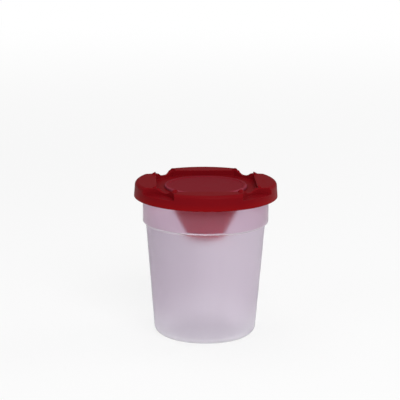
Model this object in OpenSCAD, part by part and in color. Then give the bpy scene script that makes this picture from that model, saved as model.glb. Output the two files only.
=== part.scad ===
// Spill-proof paint cup: a tapered cup, a push-on lid moulded in one with
// its conical funnel, and a round stopper that closes the funnel's mouth.
// Millimetres, +Z up, origin at the centre of the cup's base.

/* [Cup] */
// Height of the cup from its base to its rim
cup_h = 87.1; // [80:0.1:110]
// Outer radius of the wall carried down to the base, before the round
base_r = 30; // [27:0.1:33]
// Outer radius of the straight band above the stacking shoulder
mouth_r = 37.25; // [34:0.05:41]
// Distance that the shoulder steps out from the wall below it
shoulder_step = 1.85; // [1.4:0.05:3]
// Height of the underside of the shoulder
shoulder_z = 67.4; // [50:0.1:76]
// Height that the shoulder takes to step out
shoulder_rise = 1; // [0.6:0.1:2]
// Thickness of the cup's wall
cup_wall = 1.2; // [0.8:0.1:2]
// Thickness of the cup's floor
cup_floor = 1.6; // [1.2:0.1:3]
// Radius of the round between base and wall
base_round = 4.6; // [3:0.1:6]
// Depth of the shallow recess under the floor
foot_recess = 0.5; // [0.2:0.1:0.9]
// Width of the flat ring that the cup stands on
foot_ring_w = 3; // [2:0.1:6]

/* [Lid] */
// Distance from the outside of the cup's mouth to the outside of the skirt
brim_reach = 5.25; // [4.5:0.05:10]
// Amount that the skirt leans in from its lower edge to the top round
skirt_draft = 0.5; // [0:0.1:1]
// Height of the brim from the skirt's lower edge to the top of the lobes
brim_h = 9; // [7.5:0.1:14]
// Thickness of the lid's walls
lid_wall = 1.4; // [1:0.1:1.6]
// Radius of the round on the outer top edge of the lobes
lobe_round = 2.2; // [1.8:0.1:3]
// Depth of the tray from the top of the lobes to its floor
tray_depth = 3.8; // [3:0.1:5]
// Distance from the axis to the tray's straight walls
tray_half = 29.4; // [27:0.1:31]
// Length of the ring under the lid that plugs the cup's mouth
ring_len = 3.6; // [2.5:0.1:3.7]

/* [Brush rests] */
// Radius of the round notch between two lobes
notch_r = 17.5; // [14:0.1:20]
// Distance from the axis to the nearest point of a notch
notch_reach = 35; // [33:0.1:37]
// Depth of the groove that a brush lies in, below the top of the lobes
groove_depth = 2; // [1:0.1:2.6]
// Radius of the groove
groove_r = 8; // [5:0.1:10]
// Radius of the small ears on both sides of a groove
ear_r = 2.2; // [1.8:0.1:3]
// Height of the ears above the lobes
ear_h = 1.5; // [0.8:0.1:1.7]
// Distance of an ear from the middle of its lobe
ear_side = 19; // [17:0.1:20]

/* [Funnel] */
// Inner radius of the funnel's mouth
bore_r = 22.9; // [20:0.1:24]
// Length of the straight bore in the mouth
bore_len = 3.6; // [3:0.1:6]
// Outer radius of the open tip
tip_r = 10.3; // [7:0.1:14]
// Length of the funnel from the tray's floor to its tip
funnel_len = 30.2; // [20:0.1:40]
// Thickness of the funnel's wall
funnel_wall = 1.3; // [0.9:0.1:2]

/* [Stopper] */
// Amount that the stopper's disc reaches past the funnel's mouth
stopper_lip = 1.5; // [1:0.1:2.5]
// Thickness of the stopper's disc
stopper_t = 1.7; // [1.4:0.1:2.6]
// Radius of the round on the disc's outer top edge
stopper_round = 0.9; // [0.5:0.1:1.2]
// Width of the raised border round the top of the disc
stopper_border = 2.2; // [1.5:0.1:4]
// Depth of the face inside the border
stopper_dish = 0.4; // [0.2:0.1:0.6]
// Length of the stopper's plug below the tray's floor
plug_len = 3.1; // [2:0.1:3.2]
// Thickness of the plug's wall
plug_wall = 1.3; // [0.9:0.1:2]

/* [Fits] */
// Clearance between the lid's ring and the cup's mouth
lid_gap = 0.1; // [0.05:0.01:0.3]
// Clearance between the stopper's plug and the funnel's mouth
stopper_gap = 0.1; // [0.05:0.01:0.3]

/* [Hidden] */
$fn = 96;
red = [0.44, 0.02, 0.04];
frosted = [0.86, 0.84, 0.87, 0.5];
// Overlap that keeps a cut clear of the face it starts from
over = 0.5;
// Levels that follow from the cup's rim, where the lid rests
floor_under_z = cup_h;
floor_z = floor_under_z + lid_wall;
lobe_z = floor_z + tray_depth;
skirt_z = lobe_z - brim_h;
ring_z = floor_under_z - ring_len;
bore_z = floor_z - bore_len;
tip_z = floor_z - funnel_len;
shoulder_r = mouth_r - shoulder_step;
// Slope of the cup's wall, and how much wider a slanted wall measures flat
wall_slope = (shoulder_r - base_r) / shoulder_z;
wall_lean = sqrt(1 + wall_slope * wall_slope);
cup_mouth_inner_r = mouth_r - cup_wall;
ring_r = cup_mouth_inner_r - lid_gap;
skirt_r = mouth_r + brim_reach;
skirt_top_r = skirt_r - skirt_draft;
notch_centre = notch_reach + notch_r;
stopper_r = bore_r + stopper_lip;
plug_r = bore_r - stopper_gap;
// Small bevel that leads the plug into the mouth
lead = 0.5;

// Filled outline of the cup: its wall, shoulder and rounded base.
// inset moves the wall inwards, and low is the level of the base.
module cup_outline(inset, low, round_r, step_up, high) {
    wall_r = base_r - inset * wall_lean;
    round_x = wall_r + wall_slope * (low + round_r) - round_r * wall_lean;
    touch_x = round_x + round_r / wall_lean;
    touch_z = low + round_r - round_r * wall_slope / wall_lean;
    union() {
        polygon([
            [0, low],
            [round_x, low],
            [touch_x, touch_z],
            [shoulder_r - inset, shoulder_z + step_up],
            [mouth_r - inset, shoulder_z + shoulder_rise + step_up],
            [mouth_r - inset, high],
            [0, high]
        ]);
        translate([round_x, low + round_r]) circle(round_r);
    }
}

module cup() {
    recess_r = base_r - base_round - foot_ring_w;
    color(frosted)
    difference() {
        rotate_extrude() intersection() {
            cup_outline(0, 0, base_round, 0, cup_h);
            square([mouth_r + over, cup_h]);
        }
        rotate_extrude() intersection() {
            cup_outline(cup_wall, cup_floor, base_round - cup_wall, cup_wall, cup_h + over);
            square([mouth_r + over, cup_h + over]);
        }
        translate([0, 0, -over]) cylinder(r = recess_r, h = over + foot_recess);
    }
}

// Filled brim: a drafted skirt with a rounded outer top edge
module brim_block(low_r, high_r, low, high, round_r) {
    rotate_extrude() union() {
        polygon([
            [0, low],
            [low_r, low],
            [high_r, high - round_r],
            [high_r - round_r, high],
            [0, high]
        ]);
        intersection() {
            translate([high_r - round_r, high - round_r]) circle(round_r);
            translate([high_r - round_r, high - round_r]) square(round_r);
        }
    }
}

// Eight-sided prism of the tray, wider by grow, from one level to another
module tray_block(grow, low, high) {
    corner_half = notch_reach - lid_wall;
    translate([0, 0, low]) linear_extrude(high - low) intersection() {
        square(2 * (tray_half + grow), center = true);
        rotate(45) square(2 * (corner_half + grow), center = true);
    }
}

// The four round notches, wider by grow, from one level to another
module notch_blocks(grow, low, high) {
    for (turn = [45:90:315]) {
        rotate(turn) translate([notch_centre, 0, low]) cylinder(r = notch_r + grow, h = high - low);
    }
}

// Ring that plugs the cup's mouth, carried up to the top of the lobes
module plug_ring() {
    translate([0, 0, ring_z]) difference() {
        cylinder(r = ring_r, h = lobe_z - ring_z);
        translate([0, 0, -over]) cylinder(r = ring_r - lid_wall, h = lobe_z - ring_z + 2 * over);
    }
}

// Everything that is hollow under the lid, open at the bottom
module lid_hollow() {
    inner_r = skirt_r - lid_wall;
    inner_top_r = skirt_top_r - lid_wall;
    difference() {
        union() {
            translate([0, 0, skirt_z - over]) cylinder(r = inner_r, h = over);
            difference() {
                brim_block(inner_r, inner_top_r, skirt_z, lobe_z - lid_wall, lobe_round - lid_wall);
                tray_block(lid_wall, floor_under_z, lobe_z);
                notch_blocks(lid_wall, floor_under_z, lobe_z);
            }
        }
        plug_ring();
    }
}

// Funnel profile turned about the axis: a straight mouth and a cone
module funnel_block(mouth, tip, low, high) {
    rotate_extrude() polygon([
        [0, low],
        [tip, low],
        [tip, tip_z],
        [mouth, bore_z],
        [mouth, high],
        [0, high]
    ]);
}

// Rounded ears that stand on the tray's straight walls beside each groove
module ears() {
    ear_z = lobe_z + ear_h - ear_r;
    difference() {
        for (turn = [0:90:270], side = [-1, 1]) {
            rotate(turn) intersection() {
                translate([side * ear_side, -tray_half, ear_z])
                    rotate([90, 0, 0]) cylinder(r = ear_r, h = lid_wall);
                translate([side * ear_side - ear_r, -tray_half - lid_wall, lobe_z - lid_wall / 2])
                    cube([2 * ear_r, lid_wall, lid_wall / 2 + ear_h]);
            }
        }
        notch_blocks(0, floor_z, lobe_z + ear_h + over);
    }
}

// Grooves for brush handles, across the wall between tray and notches
module grooves() {
    for (turn = [45:90:315]) {
        rotate(turn) translate([notch_reach - 2 * lid_wall, 0, lobe_z - groove_depth + groove_r])
            rotate([0, 90, 0]) cylinder(r = groove_r, h = 4 * lid_wall);
    }
}

module lid() {
    color(red)
    difference() {
        union() {
            difference() {
                brim_block(skirt_r, skirt_top_r, skirt_z, lobe_z, lobe_round);
                lid_hollow();
                tray_block(0, floor_z, lobe_z + over);
                notch_blocks(0, floor_z, lobe_z + over);
            }
            funnel_block(bore_r + funnel_wall, tip_r, tip_z, floor_z - lid_wall / 2);
            ears();
        }
        funnel_block(bore_r, tip_r - funnel_wall, tip_z - over, floor_z + over);
        grooves();
    }
}

module stopper() {
    top_z = floor_z + stopper_t;
    face_r = stopper_r - stopper_border;
    color(red)
    difference() {
        union() {
            brim_block(stopper_r, stopper_r, floor_z, top_z, stopper_round);
            rotate_extrude() polygon([
                [plug_r - plug_wall, floor_z + over],
                [plug_r - plug_wall, floor_z - plug_len],
                [plug_r - lead, floor_z - plug_len],
                [plug_r, floor_z - plug_len + lead],
                [plug_r, floor_z + over]
            ]);
        }
        rotate_extrude() polygon([
            [0, top_z - stopper_dish],
            [face_r - stopper_dish, top_z - stopper_dish],
            [face_r + stopper_dish, top_z + stopper_dish],
            [0, top_z + stopper_dish]
        ]);
    }
}

cup();
lid();
stopper();
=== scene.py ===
import math

import bmesh
import bpy
from mathutils import Matrix, Vector


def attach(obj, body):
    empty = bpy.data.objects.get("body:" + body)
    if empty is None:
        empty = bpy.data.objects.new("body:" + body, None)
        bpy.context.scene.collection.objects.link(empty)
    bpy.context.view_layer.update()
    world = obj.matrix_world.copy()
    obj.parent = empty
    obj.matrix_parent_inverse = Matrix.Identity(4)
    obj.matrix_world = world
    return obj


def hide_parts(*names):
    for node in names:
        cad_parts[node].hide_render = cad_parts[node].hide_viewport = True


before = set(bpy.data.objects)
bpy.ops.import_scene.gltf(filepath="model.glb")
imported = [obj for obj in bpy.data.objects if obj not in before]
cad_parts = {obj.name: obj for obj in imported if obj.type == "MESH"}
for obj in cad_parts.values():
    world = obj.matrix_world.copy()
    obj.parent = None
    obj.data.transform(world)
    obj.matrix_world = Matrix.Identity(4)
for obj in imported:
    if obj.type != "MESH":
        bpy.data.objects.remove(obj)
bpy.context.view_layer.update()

# The cup is a tapered pot of thin milky polypropylene, injection moulded in one
# piece. It stands on a flat ring round a shallow recess, and a shoulder below
# its rim stops one cup from jamming in the next.
mm = 0.001
cup_h = 87.1 * mm
cup_wall = 1.2 * mm
cup_floor = 1.6 * mm
foot_r = 22.4 * mm
foot_recess = 0.5 * mm
foot_round = 0.2 * mm
base_r = 30 * mm
base_round = 4.25 * mm
inner_base_round = 3.1 * mm
shoulder_r = 35.4 * mm
shoulder_z = 67.4 * mm
shoulder_top = 68.4 * mm
shoulder_wall = 0.5 * mm
shoulder_round = 0.35 * mm
mouth_r = 37.25 * mm
inner_mouth_r = mouth_r - cup_wall
band_round = 0.3 * mm
mouth_round = 0.45 * mm
cup_draft = (shoulder_r - base_r) / shoulder_z

# How finely a piece is turned, and how its surface is closed and shaded
spin_steps = 144
large_round = 1 * mm
small_round_steps, large_round_steps = 4, 8
seam_gap = 0.002 * mm
crease_angle = math.radians(40)


def turned(name, corners):
    """Spins corners, each a radius, a height and how far its round reaches."""
    bm = bmesh.new()
    verts = [bm.verts.new((radius, 0, height)) for radius, height, _ in corners]
    for first, second in zip(verts, verts[1:]):
        bm.edges.new((first, second))
    for vert, (_, _, reach) in zip(verts, corners):
        if reach:
            bmesh.ops.bevel(
                bm, geom=[vert], offset=reach, offset_type="OFFSET", affect="VERTICES",
                segments=large_round_steps if reach > large_round else small_round_steps,
                profile=0.5, material=-1)
    bmesh.ops.spin(
        bm, geom=bm.verts[:] + bm.edges[:], cent=(0, 0, 0), axis=(0, 0, 1),
        angle=math.tau, steps=spin_steps, use_merge=True)
    return finished(name, bm)


def finished(name, bm):
    """Closes seams and poles, turns the faces outwards and smooths the piece."""
    bmesh.ops.remove_doubles(bm, verts=bm.verts[:], dist=seam_gap)
    bmesh.ops.recalc_face_normals(bm, faces=bm.faces[:])
    mesh = bpy.data.meshes.new(name)
    bm.to_mesh(mesh)
    bm.free()
    mesh.shade_smooth()
    mesh.set_sharp_from_angle(angle=crease_angle)
    piece = bpy.data.objects.new(name, mesh)
    bpy.context.scene.collection.objects.link(piece)
    even = piece.modifiers.new("even_shading", "WEIGHTED_NORMAL")
    even.keep_sharp = True
    return piece


cup = turned("cup_shell", [
    (0, foot_recess, 0),
    (foot_r, foot_recess, foot_round),
    (foot_r, 0, foot_round),
    (base_r, 0, base_round),
    (shoulder_r, shoulder_z, shoulder_round),
    (mouth_r, shoulder_top, band_round),
    (mouth_r, cup_h, mouth_round),
    (inner_mouth_r, cup_h, mouth_round),
    (inner_mouth_r, shoulder_top + shoulder_wall, band_round),
    (shoulder_r - cup_wall, shoulder_z + shoulder_wall, shoulder_round),
    (base_r - cup_wall + cup_draft * cup_floor, cup_floor, inner_base_round),
    (0, cup_floor, 0),
])


class Value:
    """A socket of a finish. Sums, differences and products of it add Math nodes."""

    def __init__(self, finish, socket):
        self.finish = finish
        self.socket = socket

    def maths(self, operation, first, second):
        return self.finish.add(
            "ShaderNodeMath", {"operation": operation}, {0: first, 1: second})

    def __add__(self, other):
        return self.maths("ADD", self, other)

    def __sub__(self, other):
        return self.maths("SUBTRACT", self, other)

    def __rsub__(self, other):
        return self.maths("SUBTRACT", other, self)

    def __mul__(self, other):
        return self.maths("MULTIPLY", self, other)

    __radd__ = __add__
    __rmul__ = __mul__


class Finish:
    """A node material on Object coordinates, whose nodes all come from add."""

    grain_depth = 0.02 * mm

    def __init__(self, name):
        self.material = bpy.data.materials.new(name)
        self.material.use_nodes = True
        self.tree = self.material.node_tree
        self.tree.nodes.clear()
        self.place = self.add("ShaderNodeTexCoord", out="Object")

    def add(self, kind, settings=None, sockets=None, out=0):
        """Adds a node with its settings, then fills or links its sockets."""
        node = self.tree.nodes.new(kind)
        for name, value in (settings or {}).items():
            setattr(node, name, value)
        for name, value in (sockets or {}).items():
            if isinstance(value, Value):
                self.tree.links.new(value.socket, node.inputs[name])
            else:
                node.inputs[name].default_value = value
        return Value(self, node.outputs[out]) if node.outputs else None

    def along_axis(self, axis):
        """The place on the piece along X, Y or Z."""
        return self.add("ShaderNodeSeparateXYZ", sockets={0: self.place}, out=axis)

    def stretched(self, scale):
        """The place on the piece, with each of its axes scaled."""
        return self.add(
            "ShaderNodeVectorMath", {"operation": "MULTIPLY"}, {0: self.place, 1: scale})

    def reach(self):
        """The distance from the upright axis."""
        return self.add(
            "ShaderNodeVectorMath", {"operation": "LENGTH"},
            {0: self.stretched((1, 1, 0))}, out="Value")

    def cloud(self, size, detail=2, roughness=0.5, upright=1):
        """Noise from 0 to 1 in blotches about size metres wide, drawn out upright."""
        return self.add("ShaderNodeTexNoise", sockets={
            "Vector": self.stretched((1, 1, 1 / upright)),
            "Scale": 1 / size, "Detail": detail, "Roughness": roughness})

    def rise(self, value, low, high):
        """0 below low, 1 above high, and a smooth step between them."""
        return self.add(
            "ShaderNodeMapRange", {"interpolation_type": "SMOOTHSTEP"},
            {"Value": value, "From Min": low, "From Max": high}, out="Result")

    def blend(self, share, first, second):
        """Mixes two colours, which a Mix node takes in sockets 6 and 7 and gives in 2."""
        return self.add(
            "ShaderNodeMix", {"data_type": "RGBA"}, {0: share, 6: first, 7: second}, out=2)

    def grain(self, height, strength):
        """A fine bump of that height, for a shader's Normal."""
        return self.add("ShaderNodeBump", sockets={
            "Height": height, "Strength": strength, "Distance": self.grain_depth})

    def coat(self, piece, shader):
        """Ends the material in shader and puts it on the piece."""
        self.add("ShaderNodeOutputMaterial", sockets={"Surface": shader})
        piece.data.materials.clear()
        piece.data.materials.append(self.material)


# The wall is frosted up to the shoulder and clearer in the band above it. One side
# is painted paler as painted lamp light, and the lowest part as painted light through the
# base.
shaded_side_tint = (0.752, 0.697, 0.762, 1)
lit_side_tint = (0.812, 0.757, 0.822, 1)
painted_base_light_tint = (0.90, 0.87, 0.92, 1)
band_tint = (0.75, 0.60, 0.70, 1)
painted_step_highlight = (0.96, 0.93, 0.96, 1)
lit_side_fade = (7 * mm, 43 * mm)
base_light_fade = (1 * mm, 22 * mm)
band_fade = (shoulder_z - 1 * mm, shoulder_z)
step_fade = (shoulder_top, shoulder_top + 0.6 * mm)
frosting = 0.53
band_polish = 0.24
see_through = 0.93
bending = 1.17

milky = Finish("milky_plastic")
up_cup = milky.along_axis("Z")
haze = milky.cloud(18 * mm)
speckle = milky.cloud(0.6 * mm, detail=3)
flow = milky.cloud(9 * mm, detail=3, upright=12)
uneven_across = milky.along_axis("X") + 20 * mm * haze + 30 * mm * flow
# Painted side light: the wall's tint grows paler across it, towards the side the lamps
# light more.
wall_tint = milky.blend(milky.rise(uneven_across, *lit_side_fade), shaded_side_tint, lit_side_tint)
# Painted light: the tint grows paler towards the bottom, standing in for light through the
# thick base.
frosted_tint = milky.blend(milky.rise(up_cup, *base_light_fade), painted_base_light_tint, wall_tint)
band = milky.rise(up_cup, *band_fade)
# Painted highlight: a near-white tint just above the shoulder draws a bright line along
# the step.
step = band * (1 - milky.rise(up_cup, *step_fade))
clear_tint = milky.blend(step, band_tint, painted_step_highlight)
milky.coat(cup, milky.add("ShaderNodeBsdfPrincipled", sockets={
    "Base Color": milky.blend(band, frosted_tint, clear_tint),
    "Roughness": frosting + 0.04 * haze + 0.03 * speckle - band_polish * band,
    "IOR": bending,
    "Transmission Weight": see_through,
    "Normal": milky.grain(speckle + 0.6 * haze, strength=0.12),
}))

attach(cup, "cup")
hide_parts("cup")

# The lid is one thin-walled moulding of red plastic, pushed onto the cup's rim:
# a skirted brim of four lobes with notches for brushes between them, a sunken
# tray, a ring that plugs the mouth, and a funnel that keeps spilt paint inside.
lid_wall = 1.4 * mm
skirt_r = 42.48 * mm
skirt_z = 83.3 * mm
rim_r = 42 * mm
lobe_z = 92.3 * mm
lobe_round = 2.2 * mm
lobe_corner = 0.6 * mm
notch_at = 45
notch_r = 17.5 * mm
notch_reach = 35 * mm
notch_centre = Vector((1, 1)).normalized() * (notch_reach + notch_r)
groove_r = 8 * mm
groove_depth = 2 * mm
deck_z = cup_h + lid_wall
deck_edge = 0.35 * mm
tray_half = 29.4 * mm
tray_corner = 1.2 * mm
tray_foot = 0.5 * mm
soft_edge = 0.4 * mm
quarters = (0, 90, 180, 270)

# The lid's skin grows loop by loop. A line is an eighth of a loop, from the
# middle of a lobe to the middle of a notch, in three stretches: the lobe, its
# corner and the notch. On a round line the corner has no form of its own, and
# lies between two angles.
lobe_steps, corner_steps, notch_steps = 18, 6, 14
skirt_corner = (29.5, 30.5)
ring_corner = (33, 33.5)
hollow_corner = (26.4, 26.9)


def towards(angle):
    """The direction at that many degrees from the middle of a lobe."""
    return Vector((math.cos(math.radians(angle)), math.sin(math.radians(angle))))


def along(first, last, steps):
    """Steps values from first towards last, which begins the next stretch."""
    return [first + (last - first) * step / steps for step in range(steps)]


def eased(share):
    """A smooth step from 0 to 1."""
    share = min(1, max(0, share))
    return share * share * (3 - 2 * share)


def quarter_turn(steps):
    """For each point of a round: how far it has gone up, and how far back."""
    angles = [math.pi / 2 * step / steps for step in range(steps + 1)]
    return [(math.sin(angle), 1 - math.cos(angle)) for angle in angles]


# How far each point of a line belongs to the notch
notch_share = (
    [0] * lobe_steps
    + [eased(share) for share in along(0, 1, corner_steps)]
    + [1] * (notch_steps + 1))


def brim_line(rim, cut):
    """The edge of a lobe in plan: its rim, its corner, and a notch of radius cut."""
    arm = rim - lobe_corner
    reach = notch_centre.length
    swing = math.acos(
        (arm ** 2 + reach ** 2 - (cut + lobe_corner) ** 2) / (2 * arm * reach))
    lean = notch_at - math.degrees(swing)
    knee = arm * towards(lean)
    across = notch_centre - knee
    facing = math.degrees(math.atan2(across.y, across.x))
    inwards = notch_at + 180
    return (
        [rim * towards(angle) for angle in along(0, lean, lobe_steps)]
        + [knee + lobe_corner * towards(angle)
           for angle in along(lean, facing, corner_steps)]
        + [notch_centre + cut * towards(angle)
           for angle in along(facing + 180, inwards, notch_steps)]
        + [notch_centre + cut * towards(inwards)])


def tray_line(grow):
    """The edge of the tray in plan: its straight wall, its corner, its slanted wall."""
    side = tray_half + grow
    slant = math.sqrt(2) * (notch_reach - lid_wall + grow)
    stop = slant - side - tray_corner * math.tan(math.radians(notch_at / 2))
    knee = Vector((side - tray_corner, stop))
    past_corner = knee + tray_corner * towards(notch_at)
    middle = Vector((slant, slant)) / 2
    return (
        [Vector((side, y)) for y in along(0, stop, lobe_steps)]
        + [knee + tray_corner * towards(angle)
           for angle in along(0, notch_at, corner_steps)]
        + [past_corner.lerp(middle, share) for share in along(0, 1, notch_steps)]
        + [middle])


def round_line(radius, behind_notch=None, corner=skirt_corner):
    """A circle, which may have another radius behind the notch."""
    narrower = 0 if behind_notch is None else radius - behind_notch
    angles = (
        along(0, corner[0], lobe_steps) + along(*corner, corner_steps)
        + along(corner[1], notch_at, notch_steps) + [notch_at])
    return [
        (radius - narrower * share) * towards(angle)
        for share, angle in zip(notch_share, angles)]


def skirt_at(height):
    """The skirt's outer radius, which the draft narrows on the way up."""
    share = (height - skirt_z) / (lobe_z - lobe_round - skirt_z)
    return skirt_r + (rim_r - skirt_r) * share


def lobe_at(radius):
    """The top of a lobe at that distance from the axis, which its round lowers."""
    past = min(lobe_round, max(0, radius - rim_r + lobe_round))
    return lobe_z - lobe_round + math.sqrt(lobe_round ** 2 - past ** 2)


def groove_at(aside):
    """The depth of the groove for a brush, at that distance from its middle."""
    if aside >= groove_r:
        return 0
    return max(0, groove_depth - groove_r + math.sqrt(groove_r ** 2 - aside ** 2))


def lifted(line, lobe_height, notch_height=None, grooved=False):
    """The whole loop of a line, at one height on the lobes and another at notches."""
    drop = 0 if notch_height is None else lobe_height - notch_height
    points = []
    for share, spot in zip(notch_share, line):
        height = lobe_height - drop * share
        if grooved:
            aside = abs(spot.x - spot.y) / math.sqrt(2)
            height = min(height, lobe_at(spot.length)) - share * groove_at(aside)
        points.append((spot.x, spot.y, height))
    quarter = points[:-1] + [(y, x, z) for x, y, z in points[:0:-1]]
    return [
        Matrix.Rotation(math.radians(turn), 3, "Z") @ Vector(point)
        for turn in quarters for point in quarter]


loops = []
# The skirt, from the middle of its lower edge to the edge of the notches' decks
for up, back in quarter_turn(3):
    loops.append(lifted(
        round_line(skirt_r - soft_edge * (1 - up)), skirt_z + soft_edge * back))
for up, back in quarter_turn(4):
    height = deck_z - deck_edge * (1 - up)
    loops.append(lifted(
        round_line(skirt_at(height), skirt_at(height) - deck_edge * back), height))

# The foot of the notches' walls, and then the upper edges of walls and lobes
for up, back in quarter_turn(3):
    height = deck_z + deck_edge * (1 + back)
    loops.append(lifted(
        brim_line(skirt_at(height), notch_r - deck_edge * (1 - up)),
        height, deck_z + deck_edge * back))
for up, back in quarter_turn(6):
    loops.append(lifted(
        brim_line(rim_r - lobe_round * back, notch_r + soft_edge * back),
        lobe_z - lobe_round * (1 - up), lobe_z - soft_edge * (1 - up), grooved=True))

# The tray's upper edge, the foot of its walls, and the edge of the funnel's mouth
bore_r = 22.9 * mm
for up, back in quarter_turn(4):
    loops.append(lifted(
        tray_line(soft_edge * (1 - up)), lobe_z - soft_edge * back, grooved=True))
for up, back in quarter_turn(3):
    loops.append(lifted(tray_line(-tray_foot * back), deck_z + tray_foot * (1 - up)))
for up, back in quarter_turn(4):
    loops.append(lifted(
        round_line(bore_r + soft_edge * (1 - up)), deck_z - soft_edge * back))

# The funnel, down its inside, round its open tip and up its outside to the tray.
# Straight mouth and cone meet in a kink, which is softened by a cut corner.
bore_z = 84.9 * mm
tip_r = 10.3 * mm
tip_z = 58.3 * mm
funnel_wall = 1.3 * mm
outer_bore_r = bore_r + funnel_wall
inner_tip_r = tip_r - funnel_wall
taper = (outer_bore_r - tip_r) / (bore_z - tip_z)
kink = 0.6 * mm
kink_cut = 0.08 * mm
tip_inner_edge = 0.4 * mm
tip_outer_edge = 0.3 * mm
for radius, height in [
        (bore_r, bore_z + kink),
        (bore_r - kink_cut, bore_z),
        (bore_r - taper * kink, bore_z - kink),
        (inner_tip_r + taper * kink, tip_z + kink),
        (inner_tip_r + 0.4 * tip_inner_edge, tip_z + 0.5 * tip_inner_edge),
        (inner_tip_r + tip_inner_edge, tip_z),
        (tip_r - tip_outer_edge, tip_z),
        (tip_r - tip_outer_edge / 6, tip_z + 0.5 * tip_outer_edge),
        (tip_r + taper * kink, tip_z + kink),
        (outer_bore_r - taper * kink, bore_z - kink),
        (outer_bore_r - kink_cut, bore_z),
        (outer_bore_r, bore_z + kink)]:
    loops.append(lifted(round_line(radius), height))
for up, back in quarter_turn(3):
    loops.append(lifted(
        round_line(outer_bore_r + soft_edge * back), cup_h - soft_edge * (1 - up)))

# Thin walls leave a pocket under each lobe, which closes within a degree of its
# ends. This is the part of it inside the ring.
ring_r = 35.95 * mm
ring_inner_r = ring_r - lid_wall
pocket_from = tray_half + lid_wall
pocket_top = lobe_z - lid_wall
pocket_edge = 0.2 * mm
pocket_end = 25
for nearest, farthest, depth in [
        (pocket_from, ring_inner_r - 3 * pocket_edge, 0),
        (pocket_from, ring_inner_r - 2 * pocket_edge, pocket_top - cup_h),
        (ring_inner_r, ring_inner_r - pocket_edge, pocket_top - cup_h)]:
    circle = round_line(1, corner=ring_corner)
    loop = lifted([min(nearest / spot.x, farthest) * spot for spot in circle], cup_h)
    for point in loop:
        near, far = sorted((abs(point.x), abs(point.y)))
        point.z += depth * eased(pocket_end - math.degrees(math.atan2(near, far)))
    loops.append(loop)

# The ring, down its inside and up its outside, with a lead-in at its foot
ring_z = 83.5 * mm
ring_cut = 0.12 * mm
lead_in, lead_bend, lead_height = 0.5 * mm, 0.3 * mm, 0.8 * mm
for radius, height in [
        (ring_inner_r, cup_h - soft_edge),
        (ring_inner_r, ring_z + soft_edge),
        (ring_inner_r + ring_cut, ring_z + ring_cut),
        (ring_inner_r + soft_edge, ring_z),
        (ring_r - lead_in, ring_z),
        (ring_r - ring_cut, ring_z + lead_bend),
        (ring_r, ring_z + lead_height)]:
    loops.append(lifted(round_line(radius, corner=ring_corner), height))

# The part of the pockets outside the ring, and the inside of the skirt
for grow in (0, pocket_edge):
    loops.append(lifted(
        round_line(ring_r + grow, corner=ring_corner),
        pocket_top - pocket_edge + grow, cup_h - pocket_edge + grow))
inside_round = lobe_round - lid_wall
for up, back in quarter_turn(3):
    loops.append(lifted(
        round_line(rim_r - lid_wall - inside_round * (1 - up), corner=hollow_corner),
        pocket_top - inside_round * back, cup_h - soft_edge * back))
skirt_inner_r = skirt_r - lid_wall
under_deck_r = skirt_inner_r - 0.2 * mm
under_deck_z = cup_h - 1 * mm
loops.append(lifted(round_line(under_deck_r, corner=hollow_corner), under_deck_z))
for up, back in quarter_turn(3):
    loops.append(lifted(
        round_line(skirt_inner_r + soft_edge * back), skirt_z + soft_edge * (1 - up)))
loops.append(loops[0])

bm = bmesh.new()
edge_verts = bmesh.ops.create_circle(
    bm, segments=len(loops[0]), radius=skirt_r)["verts"]
for vert, point in zip(edge_verts, loops[0]):
    vert.co = point
for loop in loops[1:]:
    edges = [
        bm.edges.get((edge_verts[step - 1], vert)) for step, vert in enumerate(edge_verts)]
    grown = bmesh.ops.extrude_edge_only(bm, edges=edges)["geom"]
    new_verts = {part for part in grown if isinstance(part, bmesh.types.BMVert)}
    edge_verts = [
        next(rung.other_vert(vert) for rung in vert.link_edges
             if rung.other_vert(vert) in new_verts)
        for vert in edge_verts]
    for vert, point in zip(edge_verts, loop):
        vert.co = point

# Eight ears with rounded rims and sloping backs stand on the tray's straight
# walls and keep a brush from rolling off
ear_r = 2 * mm
ear_back_r = 0.8 * mm
ear_t = 2.3 * mm
ear_front = tray_half + 0.04 * mm
ear_side = 18.9 * mm
ear_top = 93.79 * mm
ear_round = 0.5 * mm
ear_segments = 40
for turn in quarters:
    for side in (-1, 1):
        place = (
            Matrix.Rotation(math.radians(turn), 4, "Z")
            @ Matrix.Translation((ear_front + ear_t / 2, side * ear_side, ear_top - ear_r))
            @ Matrix.Rotation(math.radians(90), 4, "Y"))
        bmesh.ops.create_cone(
            bm, cap_ends=True, segments=ear_segments, radius1=ear_r, radius2=ear_back_r,
            depth=ear_t, matrix=place)
ear_rims = [
    edge for edge in bm.edges
    if {len(face.verts) for face in edge.link_faces} == {4, ear_segments}]
bmesh.ops.bevel(
    bm, geom=ear_rims, offset=ear_round, offset_type="OFFSET", affect="EDGES",
    segments=4, profile=0.5, material=-1)
lid = finished("lid_shell", bm)

# The red is deep and hardly glossy, painted brighter at the skirt's foot as light from the
# floor, and brighter where it is scuffed. The thin funnel below the tray is painted
# brighter as the light it lets through.
deep_red = (0.155, 0.003, 0.0062, 1)
bright_red = (0.215, 0.0035, 0.0045, 1)
tip_glow = (0.54, 0.02, 0.062, 1)
mouth_glow = (0.47, 0.009, 0.03, 1)
floor_light_fade = (83 * mm, 88 * mm)
funnel_fade = (79 * mm, 83 * mm)
scuff_fade = (0.58, 0.7)
lid_roughness = 0.4
lid_shine = 0.022

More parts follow.
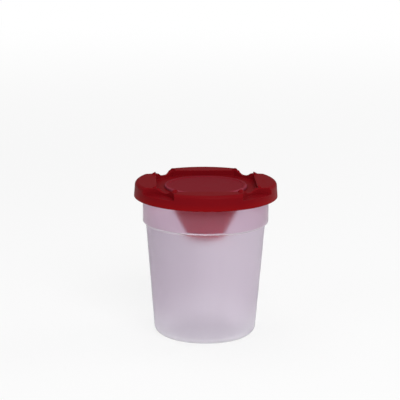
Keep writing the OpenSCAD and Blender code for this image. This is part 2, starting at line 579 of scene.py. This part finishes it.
red = Finish("red_plastic")
up_lid = red.along_axis("Z")
swirl = red.cloud(12 * mm)
peel = red.cloud(0.9 * mm, detail=3)
scuff = red.rise(red.cloud(3.5 * mm, detail=6, roughness=0.7), *scuff_fade)
# Painted floor light: the skirt's red is brighter towards its foot.
painted_floor_light = 1 - red.rise(up_lid, *floor_light_fade)
funnel = 1 - red.rise(up_lid, *funnel_fade)
brightness = 0.7 * painted_floor_light + 0.3 * swirl + 0.2 * scuff
moulded = red.blend(brightness, deep_red, bright_red)
# Painted light: the funnel's red is brighter, most at its tip, standing in for light
# through its thin wall.
lit_through = red.blend(red.rise(up_lid, tip_z, bore_z), tip_glow, mouth_glow)
red.coat(lid, red.add("ShaderNodeBsdfPrincipled", sockets={
    "Base Color": red.blend(funnel, moulded, lit_through),
    "Roughness": lid_roughness + 0.1 * swirl + 0.12 * scuff,
    "Specular IOR Level": lid_shine,
    "Normal": red.grain(peel + 0.5 * scuff, strength=0.1),
}))

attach(lid, "lid")
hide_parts("lid")

# The stopper is a round disc of the same red plastic, which a thumb presses
# into the funnel's mouth, where the short ring under it seals. Its border
# stands a little proud of its face.
stopper_z = 88.5 * mm
stopper_top = 90.2 * mm
stopper_r = 24.4 * mm
stopper_round = 0.9 * mm
under_round = 0.25 * mm
border = 2.2 * mm
dish = 0.4 * mm
dish_round = 0.3 * mm
plug_r = 22.8 * mm
plug_wall = 1.3 * mm
plug_inner_r = plug_r - plug_wall
plug_inner_round = 0.3 * mm
plug_z = 85.4 * mm
plug_lead = 0.45 * mm
plug_root = 0.1 * mm
stopper = turned("stopper_disc", [
    (0, stopper_z, 0),
    (plug_inner_r, stopper_z, plug_inner_round),
    (plug_inner_r, plug_z, plug_inner_round),
    (plug_r, plug_z, plug_lead),
    (plug_r, stopper_z, plug_root),
    (stopper_r, stopper_z, under_round),
    (stopper_r, stopper_top, stopper_round),
    (stopper_r - border, stopper_top, dish_round),
    (stopper_r - border - dish, stopper_top - dish, dish_round),
    (0, stopper_top - dish, 0),
])

# The disc's outer edge is paler and smoother than its face: thumbs rub it, and its
# paleness is partly a painted highlight along the rim
face_red = (0.158, 0.0055, 0.0115, 1)
cloudy_red = (0.178, 0.0065, 0.0135, 1)
rim_highlit_red = (0.25, 0.032, 0.055, 1)
rim_wear_and_highlight_fade = (23.4 * mm, 25 * mm)
stopper_roughness = 0.46
stopper_shine = 0.035

satin = Finish("satin_red_plastic")
drift = satin.cloud(14 * mm)
fine = satin.cloud(0.6 * mm, detail=3)
uneven_reach = satin.reach() + 1 * mm * satin.cloud(4 * mm, detail=4)
# Paler rim: partly thumb wear and partly a painted highlight.
rim_wear_and_highlight = satin.rise(uneven_reach, *rim_wear_and_highlight_fade)
face = satin.blend(drift, face_red, cloudy_red)
satin.coat(stopper, satin.add("ShaderNodeBsdfPrincipled", sockets={
    "Base Color": satin.blend(rim_wear_and_highlight, face, rim_highlit_red),
    "Roughness": stopper_roughness + 0.08 * drift - 0.06 * rim_wear_and_highlight,
    "Specular IOR Level": stopper_shine,
    "Normal": satin.grain(fine, strength=0.1),
}))

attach(stopper, "stopper")
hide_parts("stopper")

# The floor is white paper that glows for the camera and fades to plain white
# far off. Soft square lamps stand round it, and the camera, 0.95 m from the
# cup, looks down 13 degrees.
floor_half = 8
paper_grey = (0.75, 0.75, 0.75, 1)
plain_white = (1, 1, 1, 1)
near_glow = 0.8
distance_fade = (0.3, 1.6)
floor_mesh = bmesh.new()
bmesh.ops.create_grid(floor_mesh, x_segments=1, y_segments=1, size=floor_half)
floor = finished("floor", floor_mesh)

paper = Finish("white_paper")
unseen = (
    (1 - paper.add("ShaderNodeLightPath", out="Is Camera Ray"))
    * (1 - paper.add("ShaderNodeLightPath", out="Is Glossy Ray"))
    * (1 - paper.add("ShaderNodeLightPath", out="Is Transmission Ray")))
matt = paper.add("ShaderNodeBsdfDiffuse", sockets={"Color": paper_grey})
glow = paper.add("ShaderNodeEmission", sockets={"Color": plain_white, "Strength": 1})
far_off = paper.rise(paper.reach(), *distance_fade)
glowing = (near_glow + (1 - near_glow) * far_off) * (1 - unseen)
paper.coat(floor, paper.add("ShaderNodeMixShader", sockets={0: glowing, 1: matt, 2: glow}))

sky_strength = 0.28
world = bpy.data.worlds.new("studio")
bpy.context.scene.world = world
world.use_nodes = True
sky = world.node_tree.nodes["Background"]
sky.inputs["Color"].default_value = plain_white
sky.inputs["Strength"].default_value = sky_strength

# Each lamp's place, width and power
lamp_aim = Vector((0, 0, 60 * mm))
for name, place, width, power in [
        ("key", (0.3, -1.05, 0.95), 0.7, 13.5),
        ("fill", (-0.95, -0.7, 0.6), 0.8, 3.6),
        ("side", (1.05, 0.35, 0.45), 0.6, 5),
        ("top", (-0.3, 0.35, 1.7), 1.2, 8)]:
    lamp = bpy.data.lights.new(name, "AREA")
    lamp.shape = "SQUARE"
    lamp.size = width
    lamp.energy = power
    softbox = bpy.data.objects.new(name, lamp)
    softbox.location = place
    softbox.rotation_euler = (lamp_aim - Vector(place)).to_track_quat("-Z", "Y").to_euler()
    bpy.context.scene.collection.objects.link(softbox)

frame_pixels = 400
focal_pixels = 1559
sensor_width = 36
camera_place = Vector((-0.00339, -0.9, 0.2891))
camera_swing = math.radians(-2.3)
camera_pitch = math.radians(13.05)
camera_roll = math.radians(0.40)
camera_data = bpy.data.cameras.new("camera")
camera_data.sensor_fit = "HORIZONTAL"
camera_data.sensor_width = sensor_width
camera_data.lens = sensor_width * focal_pixels / frame_pixels
camera_data.clip_end = 50
camera = bpy.data.objects.new("camera", camera_data)
camera.matrix_world = (
    Matrix.Rotation(camera_swing, 4, "Z")
    @ Matrix.Translation(camera_place)
    @ Matrix.Rotation(math.radians(90) - camera_pitch, 4, "X")
    @ Matrix.Rotation(camera_roll, 4, "Z"))
bpy.context.scene.collection.objects.link(camera)
bpy.context.scene.camera = camera

bpy.context.scene.view_settings.view_transform = "Standard"
